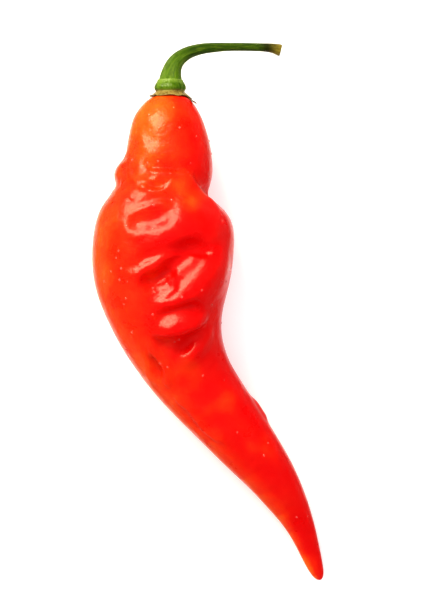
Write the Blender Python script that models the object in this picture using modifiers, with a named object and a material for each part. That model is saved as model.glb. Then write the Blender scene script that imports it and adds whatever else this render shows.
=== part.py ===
"""A ripe red chilli pepper, picked with its stem and lying on its side.

Three pieces, as they grew: the wrinkled pod, the green calyx that caps its shoulder, and
the hooked stem. The pod is 80 mm from shoulder to tip. +Y runs from the tip towards the
stem and +Z is up. The origin is on the surface that the pepper lies on, under the middle
of its outline. The tables give millimetres and degrees, measured from a point under the
pod's bend that is then shifted to that origin.
"""

import math

import bmesh
import bpy
from mathutils import Matrix, Vector

MM = 0.001
GAP = 0.3  # between pieces that touch
SHIFT = (-0.3, 0.12, 0)  # brings the middle of the outline over the origin
SUBDIVISIONS = 1
CAGE = 1.02  # how far a cage stands outside the smooth skin it makes

# The pod's rings from shoulder to tip: the centre's x, y and z, half the width, half the
# height, and how far the pod has turned to the right there.
POD_RINGS = (
    (-5.9, 33.1, 9.0, 2.9, 2.9, 0),
    (-6.1, 32.2, 9.0, 4.3, 4.2, 0),
    (-6.2, 30.6, 9.0, 5.35, 5.3, 0),
    (-6.1, 28.6, 9.0, 6.0, 6.0, 0),
    (-6.0, 26.4, 8.9, 6.5, 6.4, 0),
    (-6.0, 24.4, 8.8, 6.8, 6.7, 0),
    (-6.6, 22.3, 8.7, 7.6, 7.2, 0),
    (-6.9, 20.5, 8.7, 7.7, 7.4, 0),
    (-7.3, 18.8, 8.7, 7.4, 7.5, 0),
    (-7.4, 17.0, 8.7, 8.9, 8.1, 0),
    (-6.8, 15.2, 8.8, 10.4, 8.7, 0),
    (-6.7, 12.6, 8.9, 11.1, 9.1, 0),
    (-6.9, 9.6, 8.9, 11.2, 9.2, 0),
    (-7.0, 6.6, 8.9, 11.1, 9.2, 2),
    (-6.8, 3.6, 8.7, 10.6, 9.0, 7),
    (-6.2, 0.4, 8.5, 9.6, 8.6, 13),
    (-5.6, -2.8, 8.1, 8.5, 7.8, 19),
    (-4.5, -6.1, 7.7, 7.4, 7.0, 25),
    (-2.9, -9.4, 7.2, 6.6, 6.3, 31),
    (-0.6, -12.7, 6.8, 6.0, 5.8, 36),
    (2.1, -16.0, 6.4, 5.5, 5.4, 38),
    (4.8, -19.3, 6.0, 5.1, 5.0, 38),
    (7.4, -22.6, 5.4, 4.6, 4.5, 37),
    (10.0, -25.8, 4.8, 4.0, 4.0, 35),
    (12.3, -29.4, 4.1, 3.35, 3.3, 31),
    (14.4, -33.0, 3.2, 2.5, 2.5, 27),
    (15.7, -36.4, 2.3, 1.9, 1.9, 22),
    (16.6, -39.4, 1.5, 1.55, 1.5, 20),
    (17.5, -41.6, 1.1, 1.2, 1.15, 23),
    (18.0, -42.7, 0.9, 0.75, 0.8, 26),
)
POD_TOP = (-5.9, 33.7, 9.0)
POD_TIP = (18.3, -43.3, 0.8)
POD_SIDES = 16

# The larger dents in the pod's skin: the middle's x, y and z, the reach and the depth.
POD_DENTS = (
    (-8.2, 15.4, 17.5, 5.0, 2.6),
    (-12.6, 20.2, 14.0, 3.4, 1.2),
    (1.4, 18.0, 9.5, 3.6, 1.4),
    (-4.6, 7.0, 18.0, 3.4, 1.3),
    (-4.4, -5.4, 14.6, 4.4, 2.0),
    (-8.6, -9.2, 11.0, 3.4, 1.4),
    (-15.0, 13.0, 3.0, 4.6, 1.3),
    (1.6, 2.4, 3.5, 4.6, 1.4),
    (-2.6, 24.0, 2.6, 4.0, 1.2),
)

# The calyx's rings from its socket down to its skirt and back under it: distance along
# the stem's line from the pod's shoulder, and radius.
CALYX_SEAT = (-5.75, 33.7, 9.0)
CALYX_RINGS = (
    (2.2, 1.3),
    (2.6, 1.85),
    (2.25, 2.25),
    (1.6, 2.45),
    (1.05, 2.4),
    (0.6, 2.75),
    (0.2, 3.3),
    (0.0, 3.25),
    (0.35, 2.6),
    (0.6, 1.2),
)
CALYX_SIDES = 20
TEETH = 5
TOOTH_RINGS = (6, 7)  # of CALYX_RINGS, those that the teeth pull out
TOOTH_REACH = 0.45
TOOTH_DROP = 0.5

# The stem's line from the calyx to its cut end: x, y, z and radius.
STEM_BASE_Y = CALYX_SEAT[1] + CALYX_RINGS[0][0] + GAP
STEM_LINE = (
    (-5.7, STEM_BASE_Y, 9.0, 1.0),
    (-5.7, 36.75, 9.0, 1.7),
    (-5.6, 37.5, 9.0, 1.58),
    (-5.3, 38.5, 8.95, 1.4),
    (-4.3, 40.0, 8.6, 1.18),
    (-1.9, 41.3, 7.5, 0.88),
    (1.5, 41.9, 5.9, 0.68),
    (5.1, 42.15, 4.2, 0.62),
    (9.4, 42.3, 2.2, 0.62),
    (10.9, 42.1, 1.5, 0.72),
    (11.9, 41.7, 1.1, 0.9),
)
STEM_STEPS = 3
STEM_BEVEL = 4

TRIM_SIZE = (100.0, 140.0, 8.0)  # of the block that trims the pod where it rests

# Each finish: its colour and its roughness.
RIPE_RED = ((0.78, 0.03, 0.004), 0.18)
CALYX_GREEN = ((0.22, 0.25, 0.04), 0.4)
STEM_GREEN = ((0.08, 0.14, 0.01), 0.5)


def clear_scene():
    for each in list(bpy.data.objects):
        bpy.data.objects.remove(each, do_unlink=True)


def new_collection(name):
    collection = bpy.data.collections.new(name)
    bpy.context.scene.collection.children.link(collection)
    return collection


def finish(name, colour, roughness):
    material = bpy.data.materials.new(name)
    material.use_nodes = True
    shader = material.node_tree.nodes["Principled BSDF"]
    shader.inputs["Base Color"].default_value = (*colour, 1)
    shader.inputs["Roughness"].default_value = roughness
    shader.inputs["Metallic"].default_value = 0
    return material


def add_origin(collection):
    origin = bpy.data.objects.new("pepper_origin", None)
    origin.location = Vector(SHIFT) * MM
    collection.objects.link(origin)
    return origin


def add_object(name, data, collection, origin, material):
    item = bpy.data.objects.new(name, data)
    item.data.materials.append(material)
    item.parent = origin
    collection.objects.link(item)
    return item


def ring_place(x, y, z, half_width, half_height, turn):
    """Stands a unit circle across the pod, at its place and size."""
    place = Matrix.Translation(Vector((x, y, z)) * MM)
    heading = Matrix.Rotation(math.radians(turn), 4, "Z")
    upright = Matrix.Rotation(math.radians(90), 4, "X")
    size = Matrix.Diagonal((half_width * MM * CAGE, half_height * MM * CAGE, 1, 1))
    return place @ heading @ upright @ size


def rim_edges(cage, ring):
    """The ring's edges that still have an open side."""
    return [edge for edge in cage.edges
            if len(edge.link_faces) < 2 and set(edge.verts) <= set(ring)]


def extrude_ring(cage, ring):
    grown = bmesh.ops.extrude_edge_only(cage, edges=rim_edges(cage, ring))["geom"]
    return [item for item in grown if isinstance(item, bmesh.types.BMVert)]


def loft(places, sides, start, end):
    """A closed cage: a circle extruded from ring to ring and drawn to a point at each end."""
    cage = bmesh.new()
    ring = bmesh.ops.create_circle(cage, segments=sides, radius=1)["verts"]
    bmesh.ops.transform(cage, matrix=places[0], verts=ring)
    rings = [ring]
    for before, place in zip(places, places[1:]):
        ring = extrude_ring(cage, ring)
        bmesh.ops.transform(cage, matrix=place @ before.inverted(), verts=ring)
        rings.append(ring)
    for ring, point in ((rings[0], start), (rings[-1], end)):
        tip = extrude_ring(cage, ring)
        bmesh.ops.pointmerge(cage, verts=tip, merge_co=Vector(point) * MM)
    bmesh.ops.recalc_face_normals(cage, faces=cage.faces)
    return cage, rings


def cage_mesh(name, cage):
    mesh = bpy.data.meshes.new(name)
    cage.to_mesh(mesh)
    cage.free()
    mesh.shade_smooth()
    return mesh


def subdivide(item):
    smooth = item.modifiers.new("smooth skin", "SUBSURF")
    smooth.levels = SUBDIVISIONS
    smooth.render_levels = SUBDIVISIONS


def press_dent(cage, spot, reach, depth):
    """Pushes the skin near a spot inwards, most in the middle."""
    cage.normal_update()
    moves = []
    for vert in cage.verts:
        away = (vert.co - spot).length / reach
        if away < 1:
            moves.append((vert, vert.normal * depth * (1 - away * away) ** 2))
    for vert, move in moves:
        vert.co -= move


def make_pod(collection, origin):
    places = [ring_place(*ring) for ring in POD_RINGS]
    cage, _ = loft(places, POD_SIDES, POD_TOP, POD_TIP)
    for x, y, z, reach, depth in POD_DENTS:
        press_dent(cage, Vector((x, y, z)) * MM, reach * MM, depth * MM)
    red = finish("ripe red skin", *RIPE_RED)
    pod = add_object("pod", cage_mesh("pod", cage), collection, origin, red)
    subdivide(pod)
    return pod


def trim_underside(item, helpers):
    """Gives the pod the flat patch that it rests on."""
    block = bmesh.new()
    bmesh.ops.create_cube(block, size=1)
    surface = bpy.data.objects.new("surface_trim", cage_mesh("surface_trim", block))
    width, length, depth = Vector(TRIM_SIZE) * MM
    surface.data.transform(Matrix.Diagonal((width, length, depth, 1)))
    surface.data.transform(Matrix.Translation((0, 0, -depth / 2)))
    surface.hide_render = True
    surface.display_type = "WIRE"
    helpers.objects.link(surface)
    cut = item.modifiers.new("flat where it rests", "BOOLEAN")
    cut.operation = "DIFFERENCE"
    cut.object = surface


def make_calyx(collection, origin):
    places = []
    for along, radius in CALYX_RINGS:
        size = Matrix.Diagonal((radius * MM * CAGE, radius * MM * CAGE, 1, 1))
        places.append(Matrix.Translation((0, 0, along * MM)) @ size)
    socket_floor = (0, 0, CALYX_RINGS[0][0])
    hollow_top = (0, 0, CALYX_RINGS[-1][0])
    cage, rings = loft(places, CALYX_SIDES, socket_floor, hollow_top)
    for index in TOOTH_RINGS:
        for vert in rings[index]:
            angle = math.atan2(vert.co.y, vert.co.x)
            lobe = max(0, math.cos(TEETH * angle)) * MM
            outward = Vector((vert.co.x, vert.co.y, 0)).normalized()
            vert.co += outward * TOOTH_REACH * lobe - Vector((0, 0, TOOTH_DROP * lobe))
    mesh = cage_mesh("calyx", cage)
    green = finish("green calyx", *CALYX_GREEN)
    calyx = add_object("calyx", mesh, collection, origin, green)
    calyx.location = Vector(CALYX_SEAT) * MM
    calyx.rotation_euler.x = math.radians(-90)
    subdivide(calyx)
    return calyx


def make_stem(collection, origin):
    curve = bpy.data.curves.new("stem", "CURVE")
    curve.dimensions = "3D"
    curve.bevel_depth = MM
    curve.bevel_resolution = STEM_BEVEL
    curve.resolution_u = STEM_STEPS
    curve.use_fill_caps = True
    line = curve.splines.new("BEZIER")
    line.bezier_points.add(len(STEM_LINE) - 1)
    for point, (x, y, z, radius) in zip(line.bezier_points, STEM_LINE):
        point.co = Vector((x, y, z)) * MM
        point.radius = radius
        point.handle_left_type = "AUTO"
        point.handle_right_type = "AUTO"
    green = finish("green stem", *STEM_GREEN)
    return add_object("stem", curve, collection, origin, green)


clear_scene()
pepper = new_collection("chilli_pepper")
helpers = new_collection("helpers")
origin = add_origin(pepper)
trim_underside(make_pod(pepper, origin), helpers)
make_calyx(pepper, origin)
make_stem(pepper, origin)
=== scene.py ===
"""A ripe red chilli pepper, as picked, lying on its side on a pale table."""

import math
import random

import bmesh
import bpy
import numpy
from mathutils import Matrix, Vector


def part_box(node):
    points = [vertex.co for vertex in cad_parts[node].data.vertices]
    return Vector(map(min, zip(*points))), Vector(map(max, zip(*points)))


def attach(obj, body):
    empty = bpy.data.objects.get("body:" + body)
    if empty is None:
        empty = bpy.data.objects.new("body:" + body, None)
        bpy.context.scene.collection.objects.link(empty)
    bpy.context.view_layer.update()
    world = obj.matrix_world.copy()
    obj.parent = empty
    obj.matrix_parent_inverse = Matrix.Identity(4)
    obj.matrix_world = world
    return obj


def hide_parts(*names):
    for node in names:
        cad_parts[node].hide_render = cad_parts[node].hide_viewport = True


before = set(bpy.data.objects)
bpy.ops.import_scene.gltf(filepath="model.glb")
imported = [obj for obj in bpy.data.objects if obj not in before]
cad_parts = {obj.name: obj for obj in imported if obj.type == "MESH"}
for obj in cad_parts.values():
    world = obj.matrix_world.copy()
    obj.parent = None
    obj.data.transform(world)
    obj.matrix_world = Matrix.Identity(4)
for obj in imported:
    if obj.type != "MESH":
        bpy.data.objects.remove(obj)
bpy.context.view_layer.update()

# ---------------------------------------------------------------------------------------
# The pod's shape: one closed skin, round at the shoulder, swollen and creased where it
# bent as it grew, then drawn out to a thin tail. Grown ring by ring from the shoulder.
# ---------------------------------------------------------------------------------------
# the pepper's sizes are in millimetres, from a point on the table under the pod's bend
MM = 0.001
BEND_FROM_LEFT_SIDE = 18.01
BEND_FROM_TIP = 43.17
pod_low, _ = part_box("pod")
bend = Vector((pod_low.x + BEND_FROM_LEFT_SIDE * MM, pod_low.y + BEND_FROM_TIP * MM, 0))


def place(x, y, z):
    """A point of the pepper, given in millimetres from under its bend."""
    return bend + Vector((x, y, z)) * MM


# centre x, y, z, half width, half height, turn to the right
pod_rings = (
    (-5.8, 34.1, 9.0, 1.7, 1.7, 0),
    (-5.85, 33.65, 9.0, 2.95, 2.95, 0),
    (-6.0, 32.6, 9.0, 4.05, 4.0, 0),
    (-6.2, 30.8, 9.0, 5.3, 5.2, 0),
    (-6.1, 28.6, 9.0, 6.0, 6.0, 0),
    (-6.0, 26.4, 8.9, 6.5, 6.4, 0),
    (-6.0, 24.4, 8.8, 6.8, 6.8, 0),
    (-6.6, 22.3, 8.7, 7.6, 7.2, 0),
    (-6.9, 20.5, 8.6, 7.7, 7.5, 0),
    (-7.3, 18.8, 8.5, 7.4, 7.8, 0),
    (-7.4, 17.0, 8.6, 8.9, 8.2, 0),
    (-6.8, 15.2, 8.8, 10.4, 8.7, 0),
    (-6.7, 12.6, 9.0, 11.15, 9.2, 0),
    (-6.9, 9.6, 8.9, 11.2, 9.2, 0),
    (-7.0, 6.6, 8.9, 11.1, 9.2, 2),
    (-6.8, 3.6, 8.7, 10.6, 9.0, 7),
    (-6.2, 0.4, 8.5, 9.6, 8.6, 13),
    (-5.6, -2.8, 8.1, 8.5, 7.8, 19),
    (-4.5, -6.1, 7.7, 7.4, 7.0, 25),
    (-2.9, -9.4, 7.2, 6.6, 6.3, 31),
    (-0.6, -12.7, 6.8, 6.0, 5.8, 36),
    (2.1, -16.0, 6.4, 5.5, 5.4, 38),
    (4.8, -19.3, 6.0, 5.1, 5.0, 38),
    (7.4, -22.6, 5.4, 4.6, 4.5, 37),
    (10.0, -25.8, 4.8, 4.0, 4.0, 35),
    (12.3, -29.4, 4.1, 3.35, 3.3, 31),
    (14.4, -33.0, 3.2, 2.5, 2.5, 27),
    (15.8, -36.4, 2.3, 1.95, 1.9, 22),
    (16.8, -39.4, 1.6, 1.55, 1.5, 20),
    (17.6, -41.6, 1.25, 1.2, 1.15, 23),
    (18.1, -42.8, 1.0, 0.75, 0.75, 26),
)
pod_tip = (18.35, -43.3, 0.9)
POD_SIDES = 32
POD_SMOOTH_STEPS = 3
POD_SQUARENESS = 1.2


def deselect_all():
    bpy.ops.object.select_all(action="DESELECT")


def round_outline(angle):
    """The same radius, whatever the angle."""
    return 1


def flat_sided(angle):
    """An oval that is a little flat on its four sides, as the pod's section is."""
    power = 2 * POD_SQUARENESS
    return (abs(math.cos(angle)) ** power + abs(math.sin(angle)) ** power) ** (-1 / power)


def start_ring(name, sides, first, outline=round_outline):
    """Adds the first ring of a piece that grows along its length, standing across it."""
    deselect_all()
    bpy.ops.mesh.primitive_circle_add(
        vertices=sides, radius=MM, fill_type="NOTHING",
        location=place(*first[:3]), rotation=(math.radians(90), 0, 0))
    piece = bpy.context.object
    piece.name = name
    piece.data.name = name
    for corner in piece.data.vertices:
        corner.co *= outline(math.atan2(corner.co.y, corner.co.x))
    bpy.ops.object.mode_set(mode="EDIT")
    bpy.ops.mesh.select_all(action="SELECT")
    return piece


def shape_ring(centre, width, height, turn):
    """Stretches the selected ring across its own width and height, then turns it."""
    bpy.ops.transform.resize(value=(width, 1, height), center_override=centre)
    bpy.ops.transform.rotate(
        value=-math.radians(turn), orient_axis="Z", center_override=centre)


def grow_rings(rings):
    """Shapes the first ring and extrudes each of the others from the one before it. Gives
    back the centre of the last one."""
    x, y, z, half_width, half_height, turn = rings[0]
    centre = place(x, y, z)
    shape_ring(centre, half_width, half_height, turn)
    for ring in rings[1:]:
        before, width_before, height_before, turn_before = centre, half_width, half_height, turn
        x, y, z, half_width, half_height, turn = ring
        centre = place(x, y, z)
        bpy.ops.mesh.extrude_region_move(TRANSFORM_OT_translate={"value": centre - before})
        bpy.ops.transform.rotate(
            value=math.radians(turn_before), orient_axis="Z", center_override=centre)
        shape_ring(centre, half_width / width_before, half_height / height_before, turn)
    return centre


def close_end(centre, tip):
    """Draws the selected ring out to a point and merges it there."""
    bpy.ops.mesh.extrude_region_move(TRANSFORM_OT_translate={"value": tip - centre})
    bpy.ops.mesh.merge(type="CENTER")


def close_start():
    """Fills the open first ring with a fan of triangles."""
    bpy.ops.mesh.select_all(action="DESELECT")
    bpy.ops.mesh.select_non_manifold()
    bpy.ops.mesh.edge_face_add()
    bpy.ops.mesh.poke()


def finish_editing():
    """Turns all faces outwards, smooths their shading and leaves edit mode."""
    bpy.ops.mesh.select_all(action="SELECT")
    bpy.ops.mesh.normals_make_consistent(inside=False)
    bpy.ops.object.mode_set(mode="OBJECT")
    bpy.ops.object.transform_apply(location=True, rotation=True, scale=True)
    bpy.ops.object.shade_smooth()


def subdivide(piece, steps):
    """Rounds a piece off, cutting each of its faces into four at each step."""
    smooth = piece.modifiers.new("smooth", "SUBSURF")
    smooth.levels = steps
    smooth.render_levels = steps
    bpy.context.view_layer.objects.active = piece
    bpy.ops.object.modifier_apply(modifier=smooth.name)


pod = start_ring("pod_skin", POD_SIDES, pod_rings[0], flat_sided)
last_centre = grow_rings(pod_rings)
close_end(last_centre, place(*pod_tip))
close_start()
finish_editing()
subdivide(pod, POD_SMOOTH_STEPS)

# ---------------------------------------------------------------------------------------
# The pod's folds: where the fruit bent, its skin buckled into lobes, creases and dimples.
# Each is worked along a line on the skin: raised, pressed in or tilted to one side, and
# fading out to nothing at the given reach.
# ---------------------------------------------------------------------------------------
# a line's points are x, y when seen from the top or from under, and y, z from left or right
LINE_STEP = 0.25 * MM
CLEAR_OF_POD = 100 * MM


def skin_points(piece):
    """Every point of a piece's mesh, as rows of x, y and z."""
    mesh = piece.data
    points = numpy.empty(len(mesh.vertices) * 3, numpy.float32)
    mesh.vertices.foreach_get("co", points)
    return points.reshape(-1, 3)


def drop_on_skin(piece, side, line):
    """Lays a line, seen from one side of the pepper, on the skin there."""
    dropped = []
    for first, second in zip(line, line[1:] + line[-1:]):
        start, end = Vector(first) * MM, Vector(second) * MM
        steps = max(1, round((end - start).length / LINE_STEP))
        for step in range(steps):
            along, across = start.lerp(end, step / steps)
            if side == "top":
                spot, heading = Vector((along, across, 0)), Vector((0, 0, -1))
            elif side == "under":
                spot, heading = Vector((along, across, 0)), Vector((0, 0, 1))
            elif side == "left":
                spot, heading = Vector((0, along, across)), Vector((1, 0, 0))
            else:
                spot, heading = Vector((0, along, across)), Vector((-1, 0, 0))
            hit, point, _, _ = piece.ray_cast(bend + spot - CLEAR_OF_POD * heading, heading)
            if hit:
                dropped.append(point)
    return dropped


def across_line(piece, side, line):
    """How far each point lies to the right of a line, looking along it from that side."""
    points = (skin_points(piece) - numpy.array(bend)) / MM
    if side == "top":
        seen = points[:, :2]
        line = numpy.array(line)
    elif side == "under":
        seen = points[:, :2] * (-1, 1)
        line = numpy.array(line) * (-1, 1)
    elif side == "right":
        seen = points[:, 1:]
        line = numpy.array(line)
    else:
        seen = points[:, 1:] * (-1, 1)
        line = numpy.array(line) * (-1, 1)
    nearest = numpy.full(len(seen), numpy.inf)
    to_right = numpy.zeros(len(seen))
    for start, end in zip(line, line[1:]):
        run = end - start
        share = numpy.clip(((seen - start) @ run) / (run @ run), 0, 1)
        away = seen - start - share[:, None] * run
        distance = numpy.hypot(away[:, 0], away[:, 1])
        closer = distance < nearest
        nearest[closer] = distance[closer]
        crossed = run[1] * away[closer, 0] - run[0] * away[closer, 1]
        to_right[closer] = crossed / numpy.hypot(*run)
    return to_right


def distance_from(piece, side, line):
    """How far each point of the skin is from a line laid on it, in millimetres."""
    points = skin_points(piece)
    away = numpy.full(len(points), numpy.inf)
    for spot in drop_on_skin(piece, side, line):
        away = numpy.minimum(away, numpy.linalg.norm(points - numpy.array(spot), axis=1))
    return away / MM


def push_skin(piece, shares, amount):
    """Moves each point of the skin outwards by its share of the amount, or inwards."""
    worked = piece.vertex_groups.new(name="worked")
    for index in numpy.flatnonzero(shares):
        worked.add([int(index)], float(shares[index]), "REPLACE")
    lift = piece.modifiers.new("lift", "DISPLACE")
    lift.vertex_group = worked.name
    lift.mid_level = 0
    lift.strength = amount * MM
    bpy.context.view_layer.objects.active = piece
    bpy.ops.object.modifier_apply(modifier=lift.name)
    piece.vertex_groups.clear()


def work_skin(piece, side, line, reach, amount, right_reach=None):
    """Raises the skin along a line, most on the line itself, or presses it in where the
    amount is negative. A right reach holds on the right of the line, and the first one then
    holds on its left only."""
    away = distance_from(piece, side, line)
    reaches = numpy.full(len(away), float(reach))
    if right_reach:
        reaches[across_line(piece, side, line) > 0] = right_reach
    push_skin(piece, numpy.clip(1 - (away / reaches) ** 2, 0, 1) ** 2, amount)


def tilt_skin(piece, side, line, width, slope, reach, right_reach=None):
    """Makes a slope of the given width along a line, looking to the line's left: the skin
    rises on the right of it, sinks on the left, and evens out again within the reach."""
    away = distance_from(piece, side, line)
    to_right = across_line(piece, side, line)
    reaches = numpy.where(to_right > 0, right_reach or reach, reach)
    shares = numpy.tanh(2 * to_right / width) * numpy.clip(1 - (away / reaches) ** 2, 0, 1) ** 2
    push_skin(piece, numpy.clip(shares, 0, 1), slope * width / 2)
    push_skin(piece, numpy.clip(-shares, 0, 1), -slope * width / 2)


def smooth_skin(piece, turns):
    """Evens out the skin between neighbouring points, as many times as it is told."""
    relax = piece.modifiers.new("relax", "SMOOTH")
    relax.factor = 0.5
    relax.iterations = turns
    bpy.context.view_layer.objects.active = piece
    bpy.ops.object.modifier_apply(modifier=relax.name)


# The dome: a small flat high on its left flank.
tilt_skin(pod, "top", [(-11.0, 28.8), (-9.4, 26.4)], 2.6, 0.22, 2.6)

# The two small lobes on the left, under the dome, with a notch above and below each.
work_skin(pod, "left", [(24.9, 4.0), (24.7, 9.0)], 1.6, -0.25)
work_skin(pod, "top", [(-12.8, 24.0), (-11.8, 24.4)], 0.8, -0.12, right_reach=1.4)
work_skin(pod, "left", [(22.2, 5.0), (22.1, 11.5)], 2.2, 0.3)
work_skin(pod, "left", [(19.9, 5.0), (19.8, 9.0), (20.0, 12.5)], 1.4, -0.25)
tilt_skin(pod, "top", [(-12.0, 22.9), (-11.8, 21.6)], 1.2, 0.2, 1.6)

# The crease under the dome, deepest in the notch on the right, and the ridge beside it.
work_skin(pod, "top", [(-8.5, 22.4), (-5.4, 22.3), (-2.8, 21.9), (-1.5, 20.5), (-0.2, 18.9),
                       (0.6, 18.0)], 2.2, -0.5, right_reach=1.0)
work_skin(pod, "right", [(18.5, 12.0), (18.0, 9.0), (18.2, 5.0)], 1.7, -0.4)
work_skin(pod, "top", [(-2.7, 21.0), (-2.0, 19.6), (-1.0, 18.2), (0.6, 17.2)], 1.2, 0.4,
          right_reach=2.6)

# The smile-shaped pit, with a swelling above it and a lip below.
tilt_skin(pod, "top", [(-9.7, 19.8), (-8.6, 20.4)], 1.0, 0.4, 1.5)
work_skin(pod, "top", [(-9.0, 19.7), (-8.1, 19.5), (-7.2, 19.6)], 0.8, -0.35)
tilt_skin(pod, "top", [(-9.7, 19.6), (-8.8, 19.0), (-7.6, 18.8), (-6.6, 19.1), (-6.0, 19.7)], 0.6,
          0.6, 1.3)

# The large oval dimple, the crest on its right where the big lobe begins, and the lip over it.
work_skin(pod, "top", [(-10.6, 13.8), (-9.0, 14.2), (-7.4, 14.9)], 2.3, -0.72)
tilt_skin(pod, "top", [(-7.4, 12.2), (-5.7, 13.3), (-4.6, 15.2), (-4.4, 16.6)], 2.2, 0.27, 2.8,
          right_reach=6.0)
tilt_skin(pod, "top", [(-11.2, 15.5), (-9.8, 16.2), (-8.0, 16.8), (-7.0, 16.9)], 0.8, 0.5, 1.6)
work_skin(pod, "top", [(-12.0, 17.0), (-11.6, 17.0)], 0.5, -0.12)

# The crease under the big lobe, which hangs over it, with a thin lip on its lower side.
work_skin(pod, "top", [(-9.6, 8.7), (-7.0, 9.2), (-4.2, 9.8), (-2.2, 9.9), (0.0, 9.2)], 1.5, -0.4)
tilt_skin(pod, "top", [(-9.6, 7.9), (-7.0, 8.5), (-4.2, 9.1), (-2.2, 9.2), (-0.2, 8.5)], 0.5, 0.6,
          1.5)

# The face that climbs from the crease to the crest on the right, and the knob on its left.
tilt_skin(pod, "top", [(-11.1, 6.3), (-8.8, 7.2)], 1.8, 0.65, 2.6)
tilt_skin(pod, "top", [(-5.4, 3.2), (-3.8, 4.5), (-2.1, 6.2), (-1.4, 7.0)], 4.5, 0.9, 5.5,
          right_reach=8.0)
tilt_skin(pod, "top", [(-5.6, 6.2), (-3.2, 8.0)], 2.0, 0.5, 2.4)

# The round crater in that face, with a bead in the middle and a groove round the bead.
work_skin(pod, "top", [(-8.8, 4.8), (-7.4, 4.8), (-6.4, 4.8)], 2.2, -0.7)
tilt_skin(pod, "top", [(-7.6, 3.9), (-5.5, 5.5)], 2.6, 0.6, 2.3)
work_skin(pod, "top", [(-7.6, 6.0), (-6.3, 6.2), (-5.3, 5.6), (-4.8, 4.6), (-5.1, 3.5), (-6.0, 2.9),
                       (-7.2, 3.1)], 1.0, -0.3)
tilt_skin(pod, "top", [(-9.4, 2.7), (-8.2, 1.9), (-6.4, 1.6), (-5.2, 1.8)], 0.7, 0.35, 1.6)

# The valley below the crater, the slope under it, then the hollow and its right rim.
tilt_skin(pod, "top", [(-5.8, -1.6), (-4.0, -1.1), (-2.4, -0.6)], 2.4, 2.1, 3.0, right_reach=4.4)
work_skin(pod, "top", [(-6.6, -5.2), (-5.2, -4.9), (-3.9, -5.0)], 2.2, -0.6)
tilt_skin(pod, "top", [(-3.1, -6.2), (-1.9, -5.0), (-1.1, -3.8)], 1.6, 1.2, 2.4, right_reach=3.4)

# The small deep dimple at the root of the tail, with a lip on each side.
work_skin(pod, "top", [(-8.3, -7.8), (-7.9, -8.8), (-7.6, -9.8)], 1.3, -0.9)
work_skin(pod, "top", [(-9.4, -7.6), (-9.4, -9.2), (-9.1, -10.6), (-7.6, -11.1)], 0.7, 0.2)
work_skin(pod, "top", [(-8.6, -5.8), (-7.7, -7.2), (-6.8, -8.4), (-6.3, -9.6), (-6.4, -11.0)], 1.4,
          0.4, right_reach=0.8)
work_skin(pod, "top", [(-10.6, -4.2), (-10.4, -6.3)], 1.4, 0.15)

# The tail: a lengthwise fold on its left, and a swelling on its right edge.
work_skin(pod, "top", [(-4.4, -14.1), (-2.6, -15.4), (-1.6, -17.0), (-0.5, -18.5), (1.7, -20.2)],
          1.6, 0.3, right_reach=0.7)
work_skin(pod, "top", [(-3.7, -15.8), (-2.6, -17.2), (-1.4, -18.6)], 0.8, -0.15)
work_skin(pod, "right", [(-14.6, 6.2), (-16.6, 6.0)], 1.5, 0.35)

# Low on the left flank: a broad dent under the big lobe, and folds that run down from it.
work_skin(pod, "left", [(15.5, 3.8), (10.5, 3.0)], 4.2, -1.1)
work_skin(pod, "left", [(5.0, 6.6), (3.2, 4.6), (2.6, 2.2)], 1.8, -0.5, right_reach=2.8)
work_skin(pod, "left", [(-0.5, 6.0), (-2.6, 4.0), (-3.2, 1.8)], 1.6, -0.4, right_reach=2.6)
work_skin(pod, "left", [(-9.0, 5.4), (-12.5, 4.2), (-16.0, 3.8)], 2.0, -0.4, right_reach=1.4)
work_skin(pod, "left", [(27.5, 4.4), (24.5, 3.0)], 2.6, -0.5)

# Low on the right flank: the crease under the dome runs on round it, with dents beside it.
work_skin(pod, "right", [(18.2, 5.6), (17.4, 3.6), (15.4, 2.4)], 1.5, -0.5, right_reach=2.6)
work_skin(pod, "right", [(12.2, 6.4), (10.4, 4.6), (10.0, 2.6)], 1.7, -0.5, right_reach=2.8)
work_skin(pod, "right", [(4.6, 4.2), (0.2, 3.2)], 4.2, -1.2)
work_skin(pod, "right", [(25.8, 3.4), (22.0, 2.6)], 3.8, -1.0)
work_skin(pod, "right", [(-8.0, 5.6), (-11.5, 4.0), (-14.0, 3.4)], 1.8, -0.45, right_reach=2.6)

# Underneath: the crease under the dome, a hollow inside the bend and folds along the tail.
work_skin(pod, "under", [(-10.4, 20.4), (-6.8, 21.0), (-3.0, 19.8)], 1.6, -0.6, right_reach=2.8)
work_skin(pod, "under", [(-10.6, -3.4), (-7.4, -3.9), (-4.0, -5.4)], 2.2, -0.6, right_reach=3.2)
work_skin(pod, "under", [(-2.8, -9.0), (0.0, -13.0), (2.8, -16.8)], 1.5, -0.4, right_reach=2.2)
work_skin(pod, "under", [(7.4, -20.6), (9.6, -24.4), (11.4, -28.4)], 1.2, -0.25, right_reach=1.8)
smooth_skin(pod, 3)

# The pod's own weight sits it flat on the table at the belly.
for corner in pod.data.vertices:
    corner.co.z = max(corner.co.z, 0)

# ---------------------------------------------------------------------------------------
# The pod's colour and gloss: waxy scarlet skin, orange on the dome and down the left flank,
# deepest red on the right and in the tail. The orange is partly late ripening and partly
# painted light where the lamps fall on the left; the darker red on the right is partly
# painted shade where the skin turns away from the light.
# ---------------------------------------------------------------------------------------
# along the pod: between which places the belly gives way to the dome, and to the tail
BELLY_TO_DOME = (15, 24)
TAIL_TO_BELLY = (-30, -2)
# across the pod, from -1 on its left side to 1 on its right: between which places it turns
# from orange to deep red, partly ripening and partly painted shade away from the light
DOME_REDDENS = (-0.3, 0.6)
BELLY_REDDENS = (-0.9, 0.15)
TAIL_REDDENS = (-1, -0.15)
# how orange the left side is, partly unripe and partly painted light: the dome at the crease
# and at the shoulder, belly and tail
CREASE_TO_SHOULDER = (22, 31)
DOME_ORANGE = (0.6, 0.88)
DOME_REDDER_ON_RIGHT = 0.5
BELLY_ORANGE = 0.66
TAIL_ORANGE = 0.75
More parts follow.
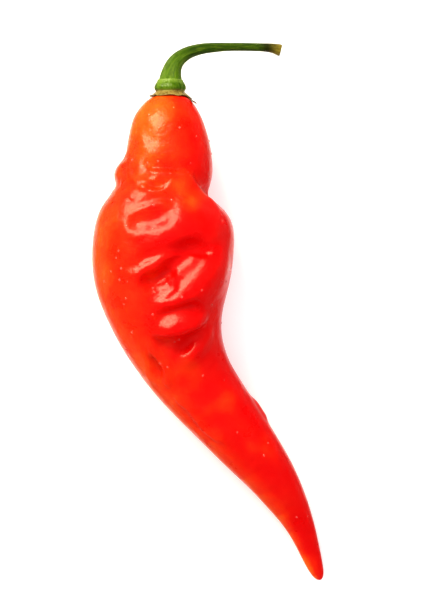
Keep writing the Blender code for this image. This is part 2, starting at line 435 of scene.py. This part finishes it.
# patches painted more orange, with ragged edges: partly skin that ripened late and partly
# painted sheen where broad faint highlights glow; x, y, reach, how much more orange
PATCH_RAGGEDNESS = 0.4
late_and_sheen_patches = (
    (-4.2, 18.8, 6.0, 0.45), (-0.8, 17.4, 4.8, 0.16), (-2.4, -9.4, 4.0, 0.4), (2.9, -14.8, 3.4, 0.45),
    (6.8, -18.8, 2.4, 0.4), (8.9, -21.8, 3.0, 0.4), (12.2, -31.0, 3.6, 0.2), (16.6, -41.0, 3.0, 0.4),
)


def mark_orange_and_painted_light(piece, rings):
    """Writes how orange each point of the skin is, from 0 for deep red to 1 for orange: partly
    how unripe it is, partly painted light on the lit left side and painted shade on the right.
    """
    points = skin_points(piece) - numpy.array(bend)
    ring_table = numpy.array(rings)
    centres = ring_table[:, :3] * MM
    turns = numpy.radians(ring_table[:, 5])
    nearest = numpy.argmin(
        numpy.linalg.norm(points[:, None, :2] - centres[None, :, :2], axis=2), axis=1)
    across = numpy.stack([numpy.cos(turns), numpy.sin(turns)], axis=1)[nearest]
    offset = ((points[:, :2] - centres[nearest, :2]) * across).sum(axis=1)
    side = offset / (ring_table[nearest, 3] * MM)
    along = points[:, 1] / MM
    dome = numpy.interp(along, BELLY_TO_DOME, (0, 1))
    tail = numpy.interp(along, TAIL_TO_BELLY, (1, 0))
    on_dome = numpy.interp(along, CREASE_TO_SHOULDER, DOME_ORANGE)
    on_dome -= DOME_REDDER_ON_RIGHT * numpy.interp(side, DOME_REDDENS, (0, 1))
    on_belly = BELLY_ORANGE * numpy.interp(side, BELLY_REDDENS, (1, 0)) ** 0.9
    on_tail = TAIL_ORANGE * numpy.interp(side, TAIL_REDDENS, (1, 0))
    orange_and_painted_light = dome * on_dome + (1 - dome) * ((1 - tail) * on_belly + tail * on_tail)
    sideways = points[:, 0] / MM
    ragged = numpy.sin(1.5 * sideways + 0.5 * along) + numpy.sin(1.3 * along - 0.8 * sideways)
    # Each patch is partly late ripening and partly painted sheen.
    for x, y, reach, amount in late_and_sheen_patches:
        away = numpy.hypot(sideways - x, along - y) + PATCH_RAGGEDNESS * ragged
        orange_and_painted_light += amount * numpy.clip(1 - (away / reach) ** 2, 0, 1) ** 2
    layer = piece.data.attributes.new("orange_and_painted_light", "FLOAT", "POINT")
    layer.data.foreach_set("value", orange_and_painted_light.astype(numpy.float32))


def new_material(name):
    """A new material's node tree, and the shader in it."""
    material = bpy.data.materials.new(name)
    material.use_nodes = True
    return material.node_tree, material.node_tree.nodes["Principled BSDF"]


def add_node(tree, kind, inputs=None, **settings):
    """A node with its settings, and numbers or links for the inputs that are named."""
    node = tree.nodes.new(kind)
    for key, value in settings.items():
        setattr(node, key, value)
    for socket, value in (inputs or {}).items():
        if isinstance(value, bpy.types.NodeSocket):
            tree.links.new(value, node.inputs[socket])
        else:
            node.inputs[socket].default_value = value
    return node


def between(tree, amount, low, high):
    """A colour that goes from low to high as the amount goes from 0 to 1."""
    mix = add_node(tree, "ShaderNodeMix", data_type="RGBA")
    for socket, value in (("Factor", amount), ("A", low), ("B", high)):
        found = [entry for entry in mix.inputs if entry.name == socket and entry.enabled][0]
        if isinstance(value, bpy.types.NodeSocket):
            tree.links.new(value, found)
        elif isinstance(value, tuple):
            found.default_value = (*value, 1)
        else:
            found.default_value = value
    return [entry for entry in mix.outputs if entry.enabled][0]


def ranged(tree, value, from_low, from_high, to_low=0.0, to_high=1.0):
    """The value brought from one range to another, and held inside it."""
    return add_node(tree, "ShaderNodeMapRange", inputs={
        "Value": value, "From Min": from_low, "From Max": from_high,
        "To Min": to_low, "To Max": to_high}).outputs["Result"]


def build_plant_grain():
    """Soft patches and a fine cell grain, drawn out lengthwise by the stretch given."""
    group = bpy.data.node_groups.new("plant_grain", "ShaderNodeTree")
    group.interface.new_socket("Place", in_out="INPUT", socket_type="NodeSocketVector")
    group.interface.new_socket("Stretch", in_out="INPUT", socket_type="NodeSocketVector")
    for name in ("Patch Scale", "Grain Scale"):
        group.interface.new_socket(name, in_out="INPUT", socket_type="NodeSocketFloat")
    for name in ("Patches", "Grain"):
        group.interface.new_socket(name, in_out="OUTPUT", socket_type="NodeSocketFloat")
    given = group.nodes.new("NodeGroupInput")
    result = group.nodes.new("NodeGroupOutput")
    drawn_out = add_node(group, "ShaderNodeVectorMath", operation="MULTIPLY")
    group.links.new(given.outputs["Place"], drawn_out.inputs[0])
    group.links.new(given.outputs["Stretch"], drawn_out.inputs[1])
    for scale, detail, output in (("Patch Scale", 4, "Patches"), ("Grain Scale", 3, "Grain")):
        noise = add_node(group, "ShaderNodeTexNoise", inputs={
            "Vector": drawn_out.outputs["Vector"], "Scale": given.outputs[scale], "Detail": detail,
            "Roughness": 0.55})
        group.links.new(ranged(group, noise.outputs["Fac"], 0.3, 0.7), result.inputs[output])
    return group


def add_grain(tree, where, stretch, patch_scale, grain_scale):
    """Places the plant grain in a material. Gives back its patches and its grain."""
    node = add_node(tree, "ShaderNodeGroup", node_tree=plant_grain)
    tree.links.new(where, node.inputs["Place"])
    node.inputs["Stretch"].default_value = stretch
    node.inputs["Patch Scale"].default_value = patch_scale
    node.inputs["Grain Scale"].default_value = grain_scale
    return node.outputs["Patches"], node.outputs["Grain"]


WAVE_STRENGTH = 0.5


def add_bump(tree, shader, height, strength, distance, waves=None, wave_height=0):
    """Gives a surface its fine relief, on top of broader waves where it has them."""
    bump = add_node(tree, "ShaderNodeBump", inputs={
        "Height": height, "Strength": strength, "Distance": distance})
    tree.links.new(bump.outputs["Normal"], shader.inputs["Normal"])
    if waves:
        broad = add_node(tree, "ShaderNodeBump", inputs={
            "Height": waves, "Strength": WAVE_STRENGTH, "Distance": wave_height})
        tree.links.new(broad.outputs["Normal"], bump.inputs["Normal"])


plant_grain = build_plant_grain()
mark_orange_and_painted_light(pod, pod_rings)
tree, shader = new_material("scarlet_skin")
here = add_node(tree, "ShaderNodeTexCoord").outputs["Object"]
orange_and_painted_light = add_node(tree, "ShaderNodeAttribute", attribute_name="orange_and_painted_light").outputs["Fac"]
patches, grain = add_grain(tree, here, (1, 1, 1), 260, 1700)
mottled = add_node(tree, "ShaderNodeMath", operation="ADD", use_clamp=True)
tree.links.new(orange_and_painted_light, mottled.inputs[0])
tree.links.new(ranged(tree, patches, 0, 1, -0.1, 0.16), mottled.inputs[1])
# The ramp runs from a darker deep red, partly painted shade on the side turned from the light, to a
# bright orange, partly painted light on the lit left side.
skin_colours = add_node(tree, "ShaderNodeValToRGB", inputs={"Fac": mottled.outputs["Value"]})
ramp = skin_colours.color_ramp
ramp.elements[0].color = (0.7, 0.0006, 0.0004, 1)
ramp.elements[1].color = (0.88, 0.13, 0.005, 1)
for position, colour in ((0.25, (0.73, 0.005, 0.0006, 1)), (0.55, (0.8, 0.028, 0.0012, 1))):
    ramp.elements.new(position).color = colour
tree.links.new(skin_colours.outputs["Color"], shader.inputs["Base Color"])
tree.links.new(ranged(tree, patches, 0, 1, 0.26, 0.36), shader.inputs["Roughness"])
add_bump(tree, shader, grain, 0.12, 0.00012, patches, 0.0003)
shader.inputs["IOR"].default_value = 1.34
shader.inputs["Coat Weight"].default_value = 0.2
shader.inputs["Coat Roughness"].default_value = 0.1
shader.inputs["Subsurface Weight"].default_value = 0.25
shader.inputs["Subsurface Radius"].default_value = (1, 0.06, 0.03)
shader.inputs["Subsurface Scale"].default_value = 2.5 * MM

pod.data.materials.append(bpy.data.materials["scarlet_skin"])
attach(pod, "root")
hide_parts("pod")

# ---------------------------------------------------------------------------------------
# Calyx: the green collar where the stalk swells, and the thin brown skirt of dried flower
# base under it. Soft tissue that grew in one piece with the stalk and hugs the shoulder.
# ---------------------------------------------------------------------------------------
CALYX_SIDES = 48
CALYX_CENTRE_X = -5.8
CALYX_CENTRE_Z = 9.0
SKIRT_TOP = 34.6
SKIRT_EDGE = 33.8
# height along the stalk, radius
calyx_profile = (
    (36.1, 0.8), (36.35, 1.5), (36.5, 1.84), (36.42, 1.98), (36.2, 2.02), (36.0, 2.12),
    (35.7, 2.34), (35.3, 2.5), (34.95, 2.5), (34.7, 2.32), (34.58, 2.2), (34.45, 2.35),
    (34.3, 2.56), (34.12, 2.8), (33.95, 3.02), (33.85, 2.98), (33.98, 2.6), (34.15, 1.9),
    (34.15, 0.9),
)
# each tooth of the skirt: where it lies round the stalk, how wide it is, how far it reaches
skirt_teeth = ((-4, 30, 1.15), (62, 26, 0.2), (118, 20, 0.25), (172, 24, 0.5), (240, 30, 0.6),
               (300, 24, 0.4))
TOOTH_FLARE = 0.55
TOOTH_DROP = 0.6
SMOOTH_CORE = 1.95
# waves round the skirt's edge, and round the collar: height, how many, where the first starts
skirt_waves = ((0.1, 7, 0), (0.07, 11, 2))
collar_waves = ((0.05, 5, 1), (0.03, 9, 0))


def wavy(waves, angle):
    """How far out a wavy edge stands at an angle round the stalk."""
    return sum(height * math.sin(count * angle + start) for height, count, start in waves)


calyx_rings = [(CALYX_CENTRE_X, height, CALYX_CENTRE_Z, radius, radius, 0)
               for height, radius in calyx_profile]
calyx = start_ring("calyx_collar", CALYX_SIDES, calyx_rings[0])
last_centre = grow_rings(calyx_rings)
close_end(last_centre, last_centre)
close_start()
finish_editing()

# The skirt's edge runs out into uneven teeth that follow the shoulder down.
for corner in calyx.data.vertices:
    x, y, z = (corner.co - bend) / MM
    sideways, upward = x - CALYX_CENTRE_X, z - CALYX_CENTRE_Z
    radius = math.hypot(sideways, upward)
    if radius < SMOOTH_CORE:
        continue
    angle = math.atan2(upward, sideways)
    low = min(max((SKIRT_TOP - y) / (SKIRT_TOP - SKIRT_EDGE), 0), 1)
    reach = wavy(skirt_waves, angle)
    for tooth_angle, spread, length in skirt_teeth:
        off = (math.degrees(angle) - tooth_angle + 180) % 360 - 180
        reach += length * math.exp(-(off / spread) ** 2)
    outward = TOOTH_FLARE * low * reach + (1 - low) * wavy(collar_waves, angle)
    corner.co += MM * Vector((sideways, 0, upward)) / radius * outward
    corner.co.y -= MM * TOOTH_DROP * low * reach
subdivide(calyx, 2)

# between which places along the stalk the tissue turns brown, and pale
BROWNING = (SKIRT_TOP + 0.42, SKIRT_TOP + 0.05)
BROWN_EDGE_WANDER = 0.35
PALE_RIM = (35.7, 36.4)
tree, shader = new_material("calyx_tissue")
here = add_node(tree, "ShaderNodeTexCoord").outputs["Object"]
patches, grain = add_grain(tree, here, (1, 0.35, 1), 900, 2600)
along = add_node(tree, "ShaderNodeSeparateXYZ", inputs={"Vector": here}).outputs["Y"]
edge_wander = add_node(tree, "ShaderNodeMath", operation="MULTIPLY_ADD")
tree.links.new(patches, edge_wander.inputs[0])
edge_wander.inputs[1].default_value = BROWN_EDGE_WANDER * MM
tree.links.new(along, edge_wander.inputs[2])
browned = ranged(tree, edge_wander.outputs["Value"], *(bend.y + y * MM for y in BROWNING))
pale_rim = ranged(tree, along, *(bend.y + y * MM for y in PALE_RIM))
green = between(tree, patches, (0.03, 0.085, 0.001), (0.17, 0.27, 0.015))
green = between(tree, pale_rim, green, (0.2, 0.3, 0.04))
brown = between(tree, patches, (0.13, 0.085, 0.02), (0.46, 0.33, 0.1))
tree.links.new(between(tree, browned, green, brown), shader.inputs["Base Color"])
add_bump(tree, shader, grain, 0.4, 0.0002)
tree.links.new(ranged(tree, patches, 0, 1, 0.22, 0.36), shader.inputs["Roughness"])
shader.inputs["IOR"].default_value = 1.42

calyx.data.materials.append(bpy.data.materials["calyx_tissue"])
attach(calyx, "root")
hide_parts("calyx")

# ---------------------------------------------------------------------------------------
# Dried sepals: what is left of the flower's tips, shrivelled to thin dark curls that still
# hang from the skirt's edge, the longest one lifting off the shoulder on the right.
# ---------------------------------------------------------------------------------------
SEPAL_THICK = 0.14
SEPAL_NARROWING = (1.0, 0.8, 0.4)
SEPAL_CRUMPLE = 0.09
SEPAL_TUCKED_IN = 0.3
SHOULDER_UNDER_SKIRT = 32.0
# points from root to tip (x, y, z), and width
sepal_lines = (
    (((-2.75, 33.35, 9.9), (-2.35, 33.0, 10.2), (-1.95, 32.85, 10.6), (-1.7, 32.5, 10.9)), 0.95),
    (((-8.0, 33.95, 10.7), (-8.4, 33.8, 10.9), (-8.75, 33.75, 10.9), (-9.05, 33.85, 10.6)), 0.8),
    (((-6.6, 33.6, 6.1), (-6.9, 33.2, 5.7), (-7.1, 32.9, 5.2), (-7.5, 32.85, 4.8)), 0.9),
    (((-3.7, 33.6, 7.4), (-3.3, 33.2, 7.0), (-2.9, 33.0, 6.6), (-2.5, 32.8, 6.3)), 0.7),
)


def make_sepal(name, line, width, crumple):
    """A strip extruded from one short edge along the line, narrowing to its tip."""
    deselect_all()
    points = [place(*point) for point in line]
    heading = (points[1] - points[0]).normalized()
    shoulder = place(CALYX_CENTRE_X, SHOULDER_UNDER_SKIRT, CALYX_CENTRE_Z)
    away = (points[0] - shoulder).normalized()
    half = heading.cross(away).normalized() * width * MM / 2
    bpy.ops.mesh.primitive_plane_add(size=MM)
    sepal = bpy.context.object
    sepal.name = name
    sepal.data.name = name
    root = points[0] - SEPAL_TUCKED_IN * MM * heading
    for corner, spot in zip(sepal.data.vertices, (root - half, root + half,
                                                  points[0] - half, points[0] + half)):
        corner.co = spot
        corner.select = False
    for edge in sepal.data.edges:
        edge.select = set(edge.vertices) == {2, 3}
    for face in sepal.data.polygons:
        face.select = False
    bpy.ops.object.mode_set(mode="EDIT")
    bpy.ops.mesh.select_mode(type="EDGE")
    for before, after, narrowing in zip(points, points[1:], SEPAL_NARROWING):
        bpy.ops.mesh.extrude_region_move(TRANSFORM_OT_translate={"value": after - before})
        bpy.ops.transform.resize(value=(narrowing,) * 3, center_override=after)
    bpy.ops.mesh.select_all(action="SELECT")
    bpy.ops.mesh.subdivide(number_cuts=2)
    bpy.ops.object.mode_set(mode="OBJECT")
    for corner in sepal.data.vertices:
        corner.co += away * crumple.uniform(-SEPAL_CRUMPLE, SEPAL_CRUMPLE) * MM
    thicken = sepal.modifiers.new("thicken", "SOLIDIFY")
    thicken.thickness = SEPAL_THICK * MM
    thicken.offset = 0
    bpy.ops.object.modifier_apply(modifier=thicken.name)
    subdivide(sepal, 2)
    bpy.ops.object.mode_set(mode="EDIT")
    finish_editing()
    return sepal


tree, shader = new_material("dried_sepal")
here = add_node(tree, "ShaderNodeTexCoord").outputs["Object"]
patches, grain = add_grain(tree, here, (1, 0.4, 1), 1500, 4000)
tree.links.new(between(tree, patches, (0.03, 0.016, 0.006), (0.26, 0.17, 0.08)),
               shader.inputs["Base Color"])
add_bump(tree, shader, grain, 0.6, 0.0002)
shader.inputs["Roughness"].default_value = 0.5
crumple = random.Random(5)
for number, (line, width) in enumerate(sepal_lines):
    sepal = make_sepal(f"dried_sepal_{number + 1}", line, width, crumple)
    sepal.data.materials.append(bpy.data.materials["dried_sepal"])
    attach(sepal, "root")

# ---------------------------------------------------------------------------------------
# Stalk: a tough green stem with faint ribs along it, thick at the calyx, bent over and
# thinning to where it was cut. The cut end is browned, and flares where the plant let go.
# ---------------------------------------------------------------------------------------
STALK_SIDES = 36
STALK_RIBS = 6
STALK_RIB_DEPTH = 0.05
STALK_SPOTS = 300
# x, y, z, radius
stalk_line = (
    (-5.75, 35.7, 9.0, 1.8),
    (-5.72, 36.3, 9.0, 1.84),
    (-5.68, 36.8, 9.0, 1.76),
    (-5.6, 37.4, 9.0, 1.62),
    (-5.38, 38.3, 8.95, 1.44),
    (-4.95, 39.2, 8.8, 1.3),
    (-4.2, 40.0, 8.55, 1.17),
    (-3.1, 40.75, 8.1, 1.02),
    (-1.75, 41.28, 7.45, 0.92),
    (-0.1, 41.66, 6.6, 0.83),
    (1.2, 41.8, 6.0, 0.78),
    (2.4, 41.93, 5.5, 0.69),
    (3.8, 42.02, 4.85, 0.66),
    (5.2, 42.1, 4.15, 0.66),
    (7.3, 42.17, 3.15, 0.65),
    (9.2, 42.2, 2.3, 0.66),
    (10.4, 42.15, 1.8, 0.74),
    (11.2, 42.0, 1.45, 0.86),
    (11.75, 41.85, 1.25, 0.98),
    (11.95, 41.8, 1.2, 0.86),
    (11.75, 41.85, 1.25, 0.5),
)


def headings_along(line):
    """The direction that the line has at each of its points."""
    points = [Vector(row[:3]) for row in line]
    ends = zip(points[:1] + points[:-1], points[1:] + points[-1:])
    return [(after - before).normalized() for before, after in ends]


def ribbed(angle):
    """A circle with shallow grooves between its ribs."""
    return 1 - STALK_RIB_DEPTH * (1 - math.cos(STALK_RIBS * angle)) / 2


# The last two rings turn back inside the cut, so the heading of the one before them holds.
headings = headings_along(stalk_line[:-2])
headings += headings[-1:] * 2
stalk_rings = []
for (x, y, z, radius), heading in zip(stalk_line, headings):
    level = math.hypot(heading.x, heading.y)
    turn = -math.degrees(math.atan2(heading.x, heading.y))
    stalk_rings.append((x, y, z, radius, radius / level, turn))
stalk = start_ring("stalk", STALK_SIDES, stalk_rings[0], ribbed)
last_centre = grow_rings(stalk_rings)
close_end(last_centre, last_centre)
close_start()
finish_editing()
subdivide(stalk, 2)


def mark_stalk(piece, line):
    """Writes where each point is: round the stalk as a circle, and how far along it."""
    points = (skin_points(piece) - numpy.array(bend)) / MM
    route = numpy.array([row[:3] for row in line])
    steps = numpy.linalg.norm(numpy.diff(route, axis=0), axis=1)
    lengths = numpy.concatenate([[0], numpy.cumsum(steps)])
    spaced = numpy.linspace(0, lengths[-1], STALK_SPOTS)
    fine = numpy.stack([numpy.interp(spaced, lengths, route[:, axis]) for axis in range(3)], axis=1)
    nearest = numpy.argmin(
        numpy.linalg.norm(points[:, None, :] - fine[None, :, :], axis=2), axis=1)
    heading = numpy.gradient(fine, axis=0)[nearest]
    side = numpy.cross(heading, (0, 0, 1))
    side /= numpy.linalg.norm(side, axis=1)[:, None]
    away = points - fine[nearest]
    around = numpy.arctan2(away[:, 2], (away * side).sum(axis=1))
    way = numpy.stack([numpy.cos(around), numpy.sin(around), spaced[nearest]], axis=1)
    layer = piece.data.attributes.new("way", "FLOAT_VECTOR", "POINT")
    layer.data.foreach_set("vector", way.astype(numpy.float32).ravel())


mark_stalk(stalk, stalk_line[:-2])
stalk_length = sum(
    (Vector(after[:3]) - Vector(before[:3])).length
    for before, after in zip(stalk_line[:-2], stalk_line[1:-2]))
# between which places the stalk is pale from the calyx, darkens as painted shade where it comes
# down to the table, and is browned by the cut
PALE_ROOT = (0, 7)
PAINTED_SHADE_NEAR_END = (stalk_length - 4.2, stalk_length - 2.8)
BROWNED_CUT = (stalk_length - 2.4, stalk_length - 0.4)
tree, shader = new_material("stalk_green")
way = add_node(tree, "ShaderNodeAttribute", attribute_name="way").outputs["Vector"]
along = add_node(tree, "ShaderNodeSeparateXYZ", inputs={"Vector": way}).outputs["Z"]
patches, grain = add_grain(tree, way, (1, 1, 0.45), 2.2, 9)
streaks, fibres = add_grain(tree, way, (1, 1, 0.08), 5, 16)
green = between(tree, ranged(tree, along, *PALE_ROOT), (0.1, 0.2, 0.002), (0.03, 0.075, 0.0002))
green = between(tree, ranged(tree, streaks, 0.35, 1, 0, 0.7), green, (0.17, 0.25, 0.01))
green = between(tree, ranged(tree, patches, 0.5, 1, 0, 0.6), green, (0.012, 0.036, 0.0002))
# Painted shade: the stalk is painted darker towards its end, where it comes down onto the table.
painted_shade_near_end = ranged(tree, along, *PAINTED_SHADE_NEAR_END)
green = between(tree, painted_shade_near_end, green, (0.026, 0.032, 0.001))
cut = ranged(tree, along, *BROWNED_CUT)
ochre = between(tree, patches, (0.13, 0.08, 0.004), (0.34, 0.27, 0.03))
tree.links.new(between(tree, cut, green, ochre), shader.inputs["Base Color"])
add_bump(tree, shader, fibres, 0.5, 0.00018)
tree.links.new(ranged(tree, patches, 0, 1, 0.3, 0.48), shader.inputs["Roughness"])
shader.inputs["IOR"].default_value = 1.36

stalk.data.materials.append(bpy.data.materials["stalk_green"])
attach(stalk, "root")
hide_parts("stem")

# ---------------------------------------------------------------------------------------
# Water: beads left on the skin from washing, each a low dome that clings where it landed, made
# a little pale and milky as painted light for the light each bead gathers onto the skin under
# it. Some are placed one by one on the upper side, and the rest are thrown all round.
# ---------------------------------------------------------------------------------------
DROP_SEGMENTS = 10
DROP_RINGS = 5
DROP_HEIGHT = 0.55
# the thrown beads: how many, how far from a ring, between which angles, how large, how low
# one can cling, and the half width of a ring on which every one of them lands
DROPS_THROWN = 95
THROW_SPREAD = 1.6
THROW_ANGLES = (-30, 210)
DROP_RADII = (0.12, 0.24)
LOWEST_DROP = 2.5
WIDEST_RING = 11.2
# the beads set one by one: x, y, radius
placed_drops = (
    (-4.2, 28.5, 0.22), (-11.6, 23.5, 0.25), (-11.9, 17.0, 0.24), (-8.2, 16.4, 0.2),
    (-13.6, 9.3, 0.2), (-13.2, 6.6, 0.24), (-15.9, 4.6, 0.22), (-14.8, 6.1, 0.18),
    (-16.0, 1.3, 0.2), (-11.6, -3.3, 0.22), (-3.8, 2.2, 0.24), (3.0, 4.6, 0.22),
    (0.8, 1.0, 0.22), (-6.1, -8.7, 0.2), (-13.0, -6.6, 0.22), (-1.6, 27.2, 0.16),
    (-9.0, 30.6, 0.14), (2.4, 14.0, 0.2), (-12.4, 13.2, 0.15), (4.8, -19.0, 0.16),
    (-5.0, -4.75, 0.16), (-4.3, -4.45, 0.18),
)


def seat_drop(drops, where, outward, radius, pattern):
    """Adds one bead to the mesh being built, flat side on the skin."""
    turn = outward.to_track_quat("Z", "Y").to_matrix().to_4x4()
    seat = Matrix.Translation(where) @ turn @ Matrix.Diagonal((radius, radius, radius, 1))
    bead = pattern.copy()
    bead.transform(seat)
    drops.from_mesh(bead)
    bpy.data.meshes.remove(bead)


deselect_all()
bpy.ops.mesh.primitive_uv_sphere_add(segments=DROP_SEGMENTS, ring_count=DROP_RINGS, radius=1)
pattern_object = bpy.context.object
bpy.ops.object.mode_set(mode="EDIT")
bpy.ops.mesh.select_all(action="SELECT")
bpy.ops.transform.resize(value=(1, 1, DROP_HEIGHT))
bpy.ops.object.mode_set(mode="OBJECT")
bpy.ops.object.shade_smooth()
pattern = pattern_object.data
gathered = bmesh.new()
for x, y, radius in placed_drops:
    hit, where, outward, _ = pod.ray_cast(place(x, y, 0) + Vector((0, 0, CLEAR_OF_POD)),
                                          Vector((0, 0, -1)))
    if hit:
        seat_drop(gathered, where, outward, radius * MM, pattern)
scatter = random.Random(23)
for _ in range(DROPS_THROWN):
    x, y, z, half_width, _, _ = scatter.choice(pod_rings[2:-1])
    y += scatter.uniform(-THROW_SPREAD, THROW_SPREAD)
    angle = math.radians(scatter.uniform(*THROW_ANGLES))
    radius = scatter.uniform(*DROP_RADII) * MM
    from_side = Vector((math.cos(angle), 0, math.sin(angle)))
    lands = scatter.random() < half_width / WIDEST_RING
    hit, where, outward, _ = pod.ray_cast(place(x, y, z) + CLEAR_OF_POD * from_side, -from_side)
    if lands and hit and where.z > LOWEST_DROP * MM:
        seat_drop(gathered, where, outward, radius, pattern)
water_mesh = bpy.data.meshes.new("water_beads")
gathered.to_mesh(water_mesh)
gathered.free()
water = bpy.data.objects.new("water_beads", water_mesh)
bpy.context.scene.collection.objects.link(water)
bpy.data.objects.remove(pattern_object)

tree, shader = new_material("water")
here = add_node(tree, "ShaderNodeTexCoord").outputs["Object"]
patches, grain = add_grain(tree, here, (1, 1, 1), 900, 3000)
# Painted light: a pale, milky colour under the clear water makes each bead lighter, for the light it
# gathers onto the skin under it.
tree.links.new(between(tree, patches, (1.0, 0.85, 0.72), (1.0, 0.94, 0.88)),
               shader.inputs["Base Color"])
add_bump(tree, shader, grain, 0.05, 0.00005)
shader.inputs["Roughness"].default_value = 0.03
shader.inputs["IOR"].default_value = 1.33
shader.inputs["Transmission Weight"].default_value = 0.92
water.data.materials.append(bpy.data.materials["water"])
water.visible_shadow = False
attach(water, "root")

# ---------------------------------------------------------------------------------------
# Camera, table and light: a long lens straight above, white paper on the table, and three
# soft panels in a bright room. Only the window panel shows in the skin as a highlight.
# ---------------------------------------------------------------------------------------
LENS = 150
SENSOR = 36
NEAREST_SEEN = 0.01
FARTHEST_SEEN = 20
CAMERA_SPOT = (1.37, 0.79, 410.6)
TABLE_SIZE = 6
camera_data = bpy.data.cameras.new("camera")
camera_data.lens = LENS
camera_data.sensor_width = SENSOR
camera_data.clip_start = NEAREST_SEEN
camera_data.clip_end = FARTHEST_SEEN
camera = bpy.data.objects.new("camera", camera_data)
camera.location = place(*CAMERA_SPOT)
bpy.context.scene.collection.objects.link(camera)
bpy.context.scene.camera = camera

deselect_all()
bpy.ops.mesh.primitive_plane_add(size=TABLE_SIZE, location=(0, 0, 0))
table = bpy.context.object
table.name = "table"

# Painted reflection: the paper shows the skin's gloss a colour of its own, bright where skin is
# seen almost edge on and dark elsewhere, as painted shade from the pepper. The paper also glows a
# little, which clears the shadow round the pepper.
tree, shader = new_material("table_paper_painted_reflection")
in_gloss = add_node(tree, "ShaderNodeLightPath").outputs["Is Glossy Ray"]
aslant = add_node(tree, "ShaderNodeLayerWeight", inputs={"Blend": 0.5}).outputs["Facing"]
painted_reflection = between(tree, ranged(tree, aslant, 0.04, 0.3), (0.9, 0.88, 0.88), (0.05, 0.045, 0.045))
tree.links.new(between(tree, in_gloss, (0.93, 0.93, 0.93), painted_reflection), shader.inputs["Base Color"])
shader.inputs["Roughness"].default_value = 0.9
shader.inputs["Specular IOR Level"].default_value = 0.1
tree.links.new(between(tree, in_gloss, (1.0, 1.0, 1.0), painted_reflection),
               shader.inputs["Emission Color"])
shader.inputs["Emission Strength"].default_value = 0.22
table.data.materials.append(bpy.data.materials["table_paper_painted_reflection"])


def panel(name, where, look_at, width, height, radiance, shows_in_gloss=True):
    """A soft rectangular light of the given brightness, aimed at a point."""
    lamp_data = bpy.data.lights.new(name, "AREA")
    lamp_data.shape = "RECTANGLE"
    lamp_data.size = width
    lamp_data.size_y = height
    lamp_data.energy = radiance * math.pi * width * height
    lamp = bpy.data.objects.new(name, lamp_data)
    lamp.location = where
    lamp.rotation_euler = (look_at - where).to_track_quat("-Z", "Y").to_euler()
    lamp.visible_glossy = shows_in_gloss
    bpy.context.scene.collection.objects.link(lamp)
    return lamp


LIT_SPOT = (-5, 5, 9)
middle = place(*LIT_SPOT)


def direction(azimuth, elevation, distance):
    """A place round the pepper: azimuth is turned anticlockwise from +X, seen from above,
    both angles are in degrees, and the distance is in millimetres."""
    flat = math.cos(math.radians(elevation)) * distance
    return middle + MM * Vector((flat * math.cos(math.radians(azimuth)),
                                 flat * math.sin(math.radians(azimuth)),
                                 math.sin(math.radians(elevation)) * distance))


window = panel("window", direction(122, 38, 300), middle, 0.17, 0.18, 10.5)
window.data.color = (1.0, 0.95, 0.64)
panel("overhead", direction(10, 74, 600), middle, 0.8, 0.8, 1.1, shows_in_gloss=False)
panel("fill", direction(218, 32, 600), middle, 0.8, 0.8, 0.35, shows_in_gloss=False)

ROOM_LIGHT = 0.45
world = bpy.data.worlds.new("studio")
bpy.context.scene.world = world
world.use_nodes = True
world.node_tree.nodes["Background"].inputs["Color"].default_value = (1, 1, 1, 1)
world.node_tree.nodes["Background"].inputs["Strength"].default_value = ROOM_LIGHT
world.cycles_visibility.glossy = False
bpy.context.scene.view_settings.view_transform = "Standard"
bpy.context.scene.view_settings.look = "Medium High Contrast"
